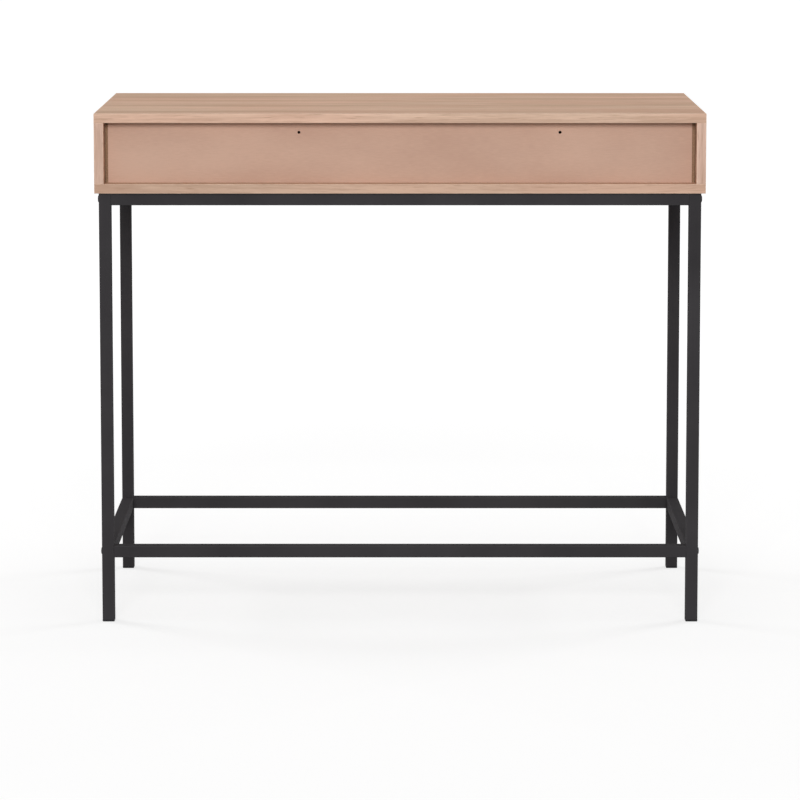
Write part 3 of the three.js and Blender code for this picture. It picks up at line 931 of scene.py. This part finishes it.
@dataclass
class Board:
    """A foil-faced board with edge band on some of its edges."""

    node: str
    body: str
    grain: Axis
    offset: tuple[float, float, float]
    banded: Sequence[tuple[Axis, int]]
    band_light: Colour = srgb(231, 196, 174)
    band_dark: Colour = srgb(200, 165, 143)
    band_figure: float = 0.04
    band_shift: tuple[float, float] = (0.37, 0.21)
    band_thickness: float = 1.0 * MM
    band_radius: float = 0.8 * MM
    joint: float = 0.12 * MM

    def build(self) -> None:
        """Builds the board from the box of its CAD node."""
        foil = OakFoil(f"{self.node}_foil", self.grain, self.offset)
        faced = sorted({axis for axis, _ in self.banded}, key=lambda axis: axis.value)
        piece = Piece(self.node, self.body, "oak_board", foil, *map(self._band_foil, faced))
        core_low, core_high = piece.low.copy(), piece.high.copy()
        for axis, side in self.banded:
            corner = core_high if side > 0 else core_low
            corner[axis.value] -= side * self.band_thickness
        piece.block(core_low, core_high, self.joint, 1)

        start, end = piece.low.copy(), piece.high.copy()
        for axis in dict.fromkeys(axis for axis, _ in self.banded):
            index = axis.value
            for side in (side for other, side in self.banded if other is axis):
                low, high = start.copy(), end.copy()
                inner, outer = (low, high) if side > 0 else (high, low)
                inner[index] = (core_high if side > 0 else core_low)[index]
                strip = piece.between(piece.box(low, high, 1 + faced.index(axis)))
                rim = [e for e in strip if all(abs(v.co[index] - outer[index]) < TOUCH for v in e.verts)]
                piece.round_edges(rim, self.band_radius, 4)
            start[index], end[index] = core_low[index], core_high[index]
        piece.done()

    def _band_foil(self, axis: Axis) -> OakFoil:
        """Makes the foil of the bands that face along an axis. Its grain runs along them.

        Args:
            axis: The axis.

        Returns:
            The foil.
        """
        low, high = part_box(self.node)
        run = max((a for a in Axis if a is not axis), key=lambda a: (high - low)[a.value])
        x, y, z = self.offset
        shifted = (x + self.band_shift[0], y + self.band_shift[1] + 0.1 * axis.value, z)
        name = f"{self.node}_band_{axis.name.lower()}"
        return OakFoil(name, run, shifted, self.band_light, self.band_dark, figure=self.band_figure)


@dataclass
class Case:
    """The board case: top, bottom, sides, divider and the back panel."""

    hole_radius: float = 2.25 * MM
    holes_x: tuple[float, float] = (-236 * MM, 149 * MM)
    hole_drop: float = 15.5 * MM
    back_arris: float = 0.2 * MM
    rebate_width: float = 4.5 * MM
    rebate_depth: float = 5 * MM
    panel_settle: float = 0.45 * MM

    def build(self) -> None:
        """Builds every board of the case."""
        ends = [(Axis.Y, -1), (Axis.Y, 1)]
        around = [*ends, (Axis.X, -1), (Axis.X, 1)]
        lower = {"band_light": srgb(215, 181, 159), "band_dark": srgb(184, 150, 129)}
        sides = {"band_light": srgb(231, 200, 182), "band_dark": srgb(199, 167, 149)}
        Board("top_board", "desk", Axis.X, (0.0, 0.0, 0.0), around).build()
        Board("bottom_board", "desk", Axis.X, (1.7, 0.4, 0.2), around, **lower).build()
        Board("left_side_panel", "desk", Axis.Y, (0.6, 0.9, 0.5), ends, **sides).build()
        Board("right_side_panel", "desk", Axis.Y, (2.6, 1.3, 0.1), ends, **sides).build()
        Board("centre_divider", "desk", Axis.Y, (3.1, 0.2, 0.8), [(Axis.Y, -1)]).build()
        self._back_panel()

    def _back_panel(self) -> None:
        """Builds the back panel, with its stepped side edges and the two strap holes."""
        piece = Piece("back_panel", "desk", "back_board", BACK_FOIL, RAW_BOARD_AND_SHADE)
        low, high = piece.low, piece.high
        floor, height = low.z - self.panel_settle, high.z - low.z + 2 * self.panel_settle
        step, half = high.y - self.rebate_depth, high.x - self.rebate_width
        right = [(high.x, low.y), (high.x, step), (half, step), (half, high.y)]
        outline = right + [(-x, y) for x, y in reversed(right)]
        piece.prism([Vector((x, y, floor)) for x, y in outline], Vector((0, 0, height)))
        # The rebate's faces take the darker bare-board colour, which also stands for painted shade along the
        # panel's sides.
        for face in piece.bm.faces:
            middle = face.calc_center_bounds()
            if abs(middle.x) > half - MM and middle.y > low.y + MM:
                face.material_index = 1
        piece.round_edges(piece.level(Axis.Y, high.y), self.back_arris)
        rearward = Axis.Y.unit
        for x in self.holes_x:
            mouth = Vector((x, high.y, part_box("top_board")[0].z - self.hole_drop))
            rear = piece.pierce(mouth, rearward, self.hole_radius)
            front = piece.pierce(Vector((x, low.y, mouth.z)), -rearward, self.hole_radius)
            for face in bmesh.ops.bridge_loops(piece.bm, edges=[*rear, *front])["faces"]:
                face.material_index = 1
                face.normal_update()
                if face.normal.dot(mouth - face.calc_center_median()) < 0:
                    face.normal_flip()
        piece.done()


# ------------------------------------------------------------------ steel frame


@dataclass
class SteelFrame:
    """The frame of square tube: legs, rails, stretchers, welds, bolts and foot caps."""

    corner: float = 1.6 * MM
    wall: float = 1.2 * MM
    plate: float = 3 * MM
    plate_chamfer: float = 0.35 * MM
    bead: float = 1.5 * MM
    bead_radius: float = 1.05 * MM
    bead_pitch: float = 1.3 * MM
    bead_waist: float = 0.84
    cap_round: float = 1.1 * MM
    plug_round: float = 0.6 * MM
    plug_gap: float = 0.3 * MM
    access_radius: float = 4.8 * MM

    def build(self) -> None:
        """Builds every piece of the frame."""
        for end, sx in ENDS:
            for face in FACES:
                leg = self._steel(f"{end}_{face}_leg")
                leg.tube(Axis.Z, self.corner, self.wall)
                leg.done()
                self._foot_cap(f"{end}_{face}_foot_cap", leg.low.z)
                for level in ("rail", "stretcher"):
                    self._bolt(f"{end}_{face}_{level}_bolt", sx, (leg.high if sx > 0 else leg.low).x)
                self._case_screw(f"{end}_{face}_case_screw")
            self._end_member(f"{end}_top_rail", sx, under_case=True)
            self._end_member(f"{end}_stretcher", sx, under_case=False)
        for face in FACES:
            self._long_member(f"{face}_top_rail", [f"{end}_{face}_case_screw" for end, _ in ENDS])
            self._long_member(f"{face}_stretcher", [])

    def _steel(self, node: str) -> Piece:
        """Starts a coated piece of the frame."""
        return Piece(node, "desk", "frame_steel", FRAME_COAT)

    def _end_member(self, node: str, sx: int, under_case: bool) -> None:
        """Builds a member that is welded between two legs, with its weld beads.

        Args:
            node: The member's CAD node.
            sx: 1 at the right end of the desk, and -1 at the left end.
            under_case: Whether its upper face lies against the case.
        """
        piece = self._steel(node)
        low, high = piece.low, piece.high
        piece.tube(Axis.Y, self.corner, self.wall)
        inset = self.corner + self.bead / 2
        inner = low.x if sx > 0 else high.x
        for y in (low.y, high.y):
            for z in [low.z] if under_case else [low.z, high.z]:
                self._weld(piece, Vector((low.x + inset, y, z)), Vector((high.x - inset, y, z)))
            self._weld(piece, Vector((inner, y, low.z + inset)), Vector((inner, y, high.z - inset)))
        piece.done(sharp=50.0)

    def _weld(self, piece: Piece, start: Vector, end: Vector) -> None:
        """Adds a rippled weld bead along a corner.

        Args:
            piece: The piece that the bead belongs to.
            start: One end of the bead's axis.
            end: Its other end.
        """
        along = end - start
        count = max(2, round(along.length / self.bead_pitch)) * 2
        disc = {"segments": 10, "radius": self.bead_radius, "cap_ends": True}
        verts = bmesh.ops.create_circle(piece.bm, matrix=pointing(along, start), **disc)["verts"]
        for index in range(count):
            verts = piece.draw_out(piece.between(verts))
            bmesh.ops.translate(piece.bm, vec=along / count, verts=verts)
            space = Matrix.Translation(-start - along / count * (index + 1))
            swell = 1 / self.bead_waist if index % 2 == 0 else self.bead_waist
            bmesh.ops.scale(piece.bm, vec=(swell,) * 3, verts=verts, space=space)
        bmesh.ops.edgeloop_fill(piece.bm, edges=piece.between(verts))
        bmesh.ops.recalc_face_normals(piece.bm, faces=piece.bm.faces[:])

    def _long_member(self, node: str, screws: Sequence[str]) -> None:
        """Builds a member with a closed plate at each end, and the holes for the case screws.

        Args:
            node: The member's CAD node.
            screws: The CAD nodes of the screws that go through it.
        """
        piece = self._steel(node)
        low, high = piece.low, piece.high
        middles = [sum(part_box(screw), Vector()) / 2 for screw in screws]
        down = -Axis.Z.unit
        holes = [(Vector((at.x, at.y, low.z)), down, self.access_radius) for at in middles]
        piece.tube(Axis.X, self.corner, self.wall, holes)
        inset = Vector((0, self.wall, self.wall))
        for start, end in ((low.x, low.x + self.plate), (high.x - self.plate, high.x)):
            corner = Vector((start, low.y, low.z)) + inset
            piece.block(corner, Vector((end, high.y, high.z)) - inset, self.plate_chamfer, 2)
        piece.done()

    def _foot_cap(self, node: str, leg: float) -> None:
        """Builds a foot cap: a rounded flange and the plug inside the leg.

        Args:
            node: The cap's CAD node.
            leg: The height of the leg's lower end.
        """
        piece = Piece(node, "desk", "foot_plastic", FOOT_PLASTIC)
        low, high = piece.low, piece.high
        piece.box(low, Vector((high.x, high.y, leg)))
        outer = [e for e in piece.bm.edges if any(abs(v.co.z - low.z) < TOUCH for v in e.verts)]
        piece.round_edges(outer, self.cap_round, 4)
        plug = Vector((self.wall + self.plug_gap, self.wall + self.plug_gap, 0))
        piece.block(Vector((low.x, low.y, leg)) + plug, high - plug, self.plug_round, 2)
        piece.done()

    def _bolt(self, node: str, sx: int, face: float) -> None:
        """Builds a frame bolt.

        Args:
            node: The bolt's CAD node.
            sx: 1 at the right end of the desk, and -1 at the left end.
            face: Where the leg's outer face is along X.
        """
        piece = self._steel(node)
        BOLT.add_to(piece, Vector((face, piece.middle.y, piece.middle.z)), Vector((sx, 0, 0)))
        piece.done()

    def _case_screw(self, node: str) -> None:
        """Builds a screw that holds the case down, with its head inside the rail.

        Args:
            node: The screw's CAD node.
        """
        piece = Piece(node, "desk", "zinc_steel", ZINC)
        seat = Vector((piece.middle.x, piece.middle.y, piece.low.z + CASE_SCREW.height))
        CASE_SCREW.add_to(piece, seat, -Axis.Z.unit)
        piece.done()


# ------------------------------------------------------------------ drawer slides


@dataclass
class Slide:
    """A ball-bearing drawer slide: outer member, inner member, and the cage with its balls."""

    name: str
    drawer: str
    steel: float = 1.2 * MM
    lip: float = 1.4 * MM
    bend: float = 1.9 * MM
    cage_steel: float = 0.8 * MM
    ball: float = 2.1 * MM
    ball_set: float = 0.4 * MM
    ball_pitch: float = 11.5 * MM
    screw_shares: tuple[float, ...] = (0.1, 0.5, 0.9)
    hole_radius: float = 2.3 * MM
    hole_set: float = 16 * MM

    def build(self) -> None:
        """Builds the slide's three pieces."""
        outer = Piece(f"{self.name}_slide_outer", "desk", "zinc_steel", ZINC)
        inner = Piece(f"{self.name}_slide_inner", self.drawer, "zinc_steel", ZINC)
        facing = 1 if inner.high.x > outer.high.x else -1
        wall, reach = (outer.low.x, outer.high.x)[::facing]
        tip, side = (inner.low.x, inner.high.x)[::facing]
        self._member(outer, [(reach, self.steel + self.lip), (reach, 0.0), (wall, 0.0)], facing, FLUSH_SCREW)
        lip = tip + facing * self.steel
        self._member(inner, [(lip, 0.0), (lip, self.lip), (side, self.lip)], -facing, SLIDE_SCREW)
        upper = (outer.high.z - self.steel + inner.high.z - self.lip) / 2
        lower = (outer.low.z + self.steel + inner.low.z + self.lip) / 2
        self._cage(facing, (lower, upper))

    def _channel(
        self, piece: Piece, half: Sequence[tuple[float, float]], way: int, steel: float, holes: Sequence = ()
    ) -> None:
        """Adds a folded channel of sheet steel, as long and as high as the CAD node.

        Args:
            piece: The piece.
            half: The lower half of its outer face's section, as x and the rise from its lower edge.
            way: 1 where it opens the positive way along X, and -1 where it opens the other.
            steel: The sheet's thickness.
            holes: The middles of round holes in the web.
        """
        low, high = piece.low, piece.high
        path = [(x, low.z + rise) for x, rise in half] + [(x, high.z - rise) for x, rise in reversed(half)]
        verts = [piece.bm.verts.new((x, low.y, z)) for x, z in path]
        fresh = piece.draw_out([piece.bm.edges.new(pair) for pair in zip(verts, verts[1:])])
        bmesh.ops.translate(piece.bm, vec=(0, high.y - low.y, 0), verts=fresh)
        bmesh.ops.recalc_face_normals(piece.bm, faces=piece.bm.faces[:])
        piece.bm.normal_update()
        outward = Vector((-way, 0, 0))
        web = max(piece.bm.faces, key=lambda face: face.calc_area())
        if web.normal.dot(outward) < 0:
            bmesh.ops.reverse_faces(piece.bm, faces=piece.bm.faces[:])
        folds = [edge for edge in piece.bm.edges if len(edge.link_faces) == 2]
        piece.round_edges(folds, self.bend * steel / self.steel, 4)
        for middle in holes:
            piece.pierce(middle, outward, self.hole_radius)
        bmesh.ops.solidify(piece.bm, geom=piece.bm.faces[:], thickness=steel)

    def _member(self, piece: Piece, half: Sequence, way: int, screw: Fastener) -> None:
        """Builds the outer or the inner member, with its holes and screws.

        Args:
            piece: The member's piece.
            half: The lower half of its section, as _channel takes it.
            way: 1 where it opens the positive way along X, and -1 where it opens the other.
            screw: The screw that holds it.
        """
        web, length = half[-1][0], piece.high.y - piece.low.y
        seats = [Vector((web, piece.low.y + length * share, piece.middle.z)) for share in self.screw_shares]
        holes = [seat + Vector((0, self.hole_set, 0)) for seat in seats[:-1]]
        self._channel(piece, half, way, self.steel, holes)
        for seat in seats:
            screw.add_to(piece, seat + Vector((way * self.steel, 0, 0)), Vector((way, 0, 0)))
        piece.done(sharp=40.0)

    def _cage(self, facing: int, levels: tuple[float, float]) -> None:
        """Builds the ball cage and its balls.

        Args:
            facing: 1 where the slide is on the case's left of its drawer, and -1 on the right.
            levels: The heights of the two rows of balls.
        """
        piece = Piece(f"{self.name}_ball_cage", f"{self.name}_ball_cage", "zinc_steel", ZINC, BALL_STEEL)
        web, tip = (piece.low.x, piece.high.x)[::facing]
        self._channel(piece, [(tip, 0.0), (web, 0.0)], facing, self.cage_steel)
        sheet = len(piece.bm.faces)
        count = int((piece.high.y - piece.low.y) // self.ball_pitch)
        start = piece.middle.y - (count - 1) * self.ball_pitch / 2
        for index in range(count):
            for z in levels:
                at = (piece.middle.x + facing * self.ball_set, start + index * self.ball_pitch, z)
                place = Matrix.Translation(at)
                bmesh.ops.create_icosphere(piece.bm, subdivisions=3, radius=self.ball, matrix=place)
        for face in piece.bm.faces[:][sheet:]:
            face.material_index = 1
        piece.done(sharp=40.0)


# ------------------------------------------------------------------ drawers


@dataclass
class Drawer:
    """A drawer: its banded front, the grooved box, the knob and its two slides."""

    end: str
    offset: tuple[float, float, float]
    board_round: float = 0.9 * MM
    floor_round: float = 0.4 * MM
    groove_depth: float = 6 * MM
    groove_gap: float = 0.3 * MM
    joint_screw_share: tuple[float, float] = (0.3, 0.75)
    knob_rim: float = 4 * MM
    knob_neck: float = 6 * MM
    knob_base: float = 8 * MM
    knob_foot: float = 0.5 * MM
    knob_fillet: float = 2.2 * MM
    knob_sweep: float = 3.5 * MM
    knob_bore: tuple[float, float] = (2.3 * MM, 11.3 * MM)
    knob_dome: float = 67 * MM
    knob_steps: int = 48

    @property
    def name(self) -> str:
        """The drawer's name, which is its body's too."""
        return f"{self.end}_drawer"

    def build(self) -> None:
        """Builds every piece of the drawer."""
        bands = [(Axis.X, -1), (Axis.X, 1), (Axis.Z, -1), (Axis.Z, 1)]
        Board(f"{self.name}_front", self.name, Axis.X, self.offset, bands).build()
        for side, sx in ENDS:
            self._side(f"{self.name}_{side}_side", sx)
            Slide(f"{self.name}_{side}", self.name).build()
        for board, radius in (("back", self.board_round), ("floor", self.floor_round)):
            piece = Piece(f"{self.name}_{board}", self.name, "drawer_board", DRAWER_FOIL)
            piece.block(piece.low, piece.high, radius, 2)
            piece.done()
        self._knob()

    def _side(self, node: str, sx: int) -> None:
        """Builds a drawer side, with the groove for the floor and the screws into the back.

        Args:
            node: The side's CAD node.
            sx: 1 for the drawer's right side, and -1 for its left side.
        """
        piece = Piece(node, self.name, "drawer_board", DRAWER_FOIL, ZINC)
        low, high = piece.low, piece.high
        inner, outer = (low.x, high.x)[::sx]
        bed = inner + sx * self.groove_depth
        floor_low, floor_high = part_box(f"{self.name}_floor")
        lower, upper = floor_low.z - self.groove_gap, floor_high.z + self.groove_gap
        groove = [(inner, lower), (bed, lower), (bed, upper), (inner, upper)]
        outline = [(outer, low.z), (inner, low.z), *groove, (inner, high.z), (outer, high.z)]
        piece.prism([Vector((x, low.y, z)) for x, z in outline], Vector((0, high.y - low.y, 0)))
        piece.round_edges(piece.level(Axis.Z, high.z), self.board_round)
        back_low, back_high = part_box(f"{self.name}_back")
        for share in self.joint_screw_share:
            z = back_low.z + (back_high.z - back_low.z) * share
            at = Vector((outer, (back_low.y + back_high.y) / 2, z))
            FLUSH_SCREW.add_to(piece, at, Vector((sx, 0, 0)), finish=1)
        piece.done()

    def _knob(self) -> None:
        """Builds the knob and the screw that holds it."""
        knob = Piece(f"{self.name}_knob", self.name, "knob_steel", KNOB_COAT)
        middle, reach, head = knob.middle, knob.high.y - knob.low.y, (knob.high.x - knob.low.x) / 2
        rim, base, neck, bore = self.knob_rim, self.knob_base, self.knob_neck, self.knob_bore
        foot, fillet, sweep = self.knob_foot, self.knob_fillet, self.knob_sweep
        profile = [
            (0.0, bore[1]),
            (bore[0], bore[1]),
            (bore[0], 0.0),
            (base - 0.4 * MM, 0.0),
            *quarter_arc((base - foot, 0.7 * MM), foot, -60, 90, 5),
            *quarter_arc((neck + fillet, 3.6 * MM), fillet, 250, 180, 5),
            *quarter_arc((neck + sweep, reach - 2 * rim - sweep), sweep, 180, 90),
            *quarter_arc((head - rim, reach - rim - 0.8 * MM), rim, -90, 72, 9),
            *quarter_arc((0.0, reach - self.knob_dome), self.knob_dome, 81, 90, 5),
        ]
        forward = -Axis.Y.unit
        seat = Vector((middle.x, knob.high.y, middle.z))
        knob.turned(profile, pointing(forward, seat), self.knob_steps)
        knob.done()
        screw = Piece(f"{self.name}_knob_screw", self.name, "zinc_steel", ZINC)
        seat = Vector((middle.x, screw.high.y - KNOB_SCREW.height, middle.z))
        KNOB_SCREW.add_to(screw, seat, -forward)
        screw.done()


# ------------------------------------------------------------------ studio


@dataclass
class Studio:
    """The floor, the lamps, the world and the camera.

    Lengths are in metres, the lens in millimetres, the camera's pitch in degrees, the camera's shift
    in picture widths and powers in watts.
    """

    lens: float = 172.34
    pitch: float = 6.929
    distance: float = 5.612
    height: float = 1.1664
    shift: float = -0.125
    ambient: float = 0.33
    floor_half: float = 60.0
    floor_glow: tuple[float, float] = (0.64, 0.86)
    floor_reach: tuple[float, float] = (1.3, 4.0)
    floor_tone: float = 0.4
    aim: tuple[float, float, float] = (0.0, 0.0, 0.55)
    key_place: tuple[float, float, float] = (0.3, 9.0, 3.25)
    key_size: tuple[float, float] = (3.6, 2.4)
    key_power: float = 500.0
    fill_place: tuple[float, float, float] = (4.2, -2.4, 1.3)
    fill_size: tuple[float, float] = (1.8, 1.2)
    fill_power: float = 125.0
    top_place: tuple[float, float, float] = (0.0, 0.0, 2.9)
    top_size: tuple[float, float] = (0.8, 0.8)
    top_power: float = 6.0

    def build(self) -> None:
        """Sets up everything round the desk."""
        self._camera()
        self._world()
        self._floor()
        self._lamp("key_lamp", self.key_place, self.key_size, self.key_power)
        x, y, z = self.fill_place
        for end, sx in ENDS:
            self._lamp(f"{end}_fill_lamp", (x * sx, y, z), self.fill_size, self.fill_power)
        self._lamp("top_lamp", self.top_place, self.top_size, self.top_power)
        bpy.context.scene.view_settings.view_transform = "Standard"

    def _camera(self) -> None:
        """Places the camera behind the desk, in its middle plane and a little above it."""
        camera = bpy.data.cameras.new("camera")
        camera.lens = self.lens
        camera.sensor_width = 36.0
        camera.shift_y = self.shift
        camera.clip_end = 300.0
        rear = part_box("top_board")[1].y
        holder = place_object("camera", camera, (0.0, rear + self.distance, self.height))
        holder.rotation_euler = (math.radians(90 - self.pitch), 0.0, math.pi)
        bpy.context.scene.camera = holder

    def _seen(self, graph: Graph) -> bpy.types.NodeSocket:
        """Tells what the camera sees, directly or in metal or glass.

        Args:
            graph: The graph of the world or of the floor.

        Returns:
            The socket of a value that is 1 for such rays.
        """
        path = graph.add("LightPath").outputs
        seen = graph.math("MAXIMUM", path["Is Camera Ray"], path["Is Glossy Ray"])
        return graph.math("MAXIMUM", seen, path["Is Transmission Ray"])

    def _world(self) -> None:
        """Lights evenly, and shows white to the camera and in reflections."""
        world = bpy.data.worlds.new("studio")
        world.use_nodes = True
        graph = Graph(world.node_tree)
        strength = graph.remap(self._seen(graph), 0.0, 1.0, self.ambient, 1.0)
        graph.feed(world.node_tree.nodes["Background"], {"Color": (1, 1, 1, 1), "Strength": strength})
        bpy.context.scene.world = world

    def _floor(self) -> None:
        """Lays the floor, which is white but keeps the desk's shadow."""
        bm = bmesh.new()
        bmesh.ops.create_grid(bm, x_segments=1, y_segments=1, size=self.floor_half)
        mesh = bpy.data.meshes.new("floor")
        bm.to_mesh(mesh)
        bm.free()
        material = bpy.data.materials.new("floor_paper")
        material.use_nodes = True
        graph = Graph(material.node_tree)
        place = graph.add("TexCoord").outputs["Object"]
        away = graph.add("VectorMath", {0: place}, operation="LENGTH").outputs["Value"]
        level = graph.remap(away, *self.floor_reach, *self.floor_glow)
        glow = graph.math("MULTIPLY", self._seen(graph), level)
        paper = {"Base Color": (*(self.floor_tone,) * 3, 1), "Roughness": 0.9, "Specular IOR Level": 0.1}
        light = {"Emission Color": (1, 1, 1, 1), "Emission Strength": glow}
        graph.feed(material.node_tree.nodes["Principled BSDF"], {**paper, **light})
        mesh.materials.append(material)
        place_object("floor", mesh)

    def _lamp(self, name: str, at: Sequence[float], size: tuple[float, float], power: float) -> None:
        """Hangs a softbox that faces the desk.

        Args:
            name: The lamp's name.
            at: Its place.
            size: Its width and height.
            power: Its power.
        """
        light = bpy.data.lights.new(name, "AREA")
        light.shape = "RECTANGLE"
        light.size, light.size_y = size
        light.energy = power
        lamp = place_object(name, light, at)
        lamp.visible_camera = False
        way = Vector(self.aim) - Vector(at)
        lamp.rotation_euler = way.to_track_quat("-Z", "Y").to_euler()


def main() -> None:
    """Builds the studio and the desk."""
    logging.basicConfig(level=logging.INFO, format="%(name)s: %(message)s")
    Studio().build()
    Case().build()
    SteelFrame().build()
    Drawer("left", (4.3, 0.6, 0.3)).build()
    Drawer("right", (5.9, 1.1, 0.7)).build()


if __name__ == "__main__":
    main()
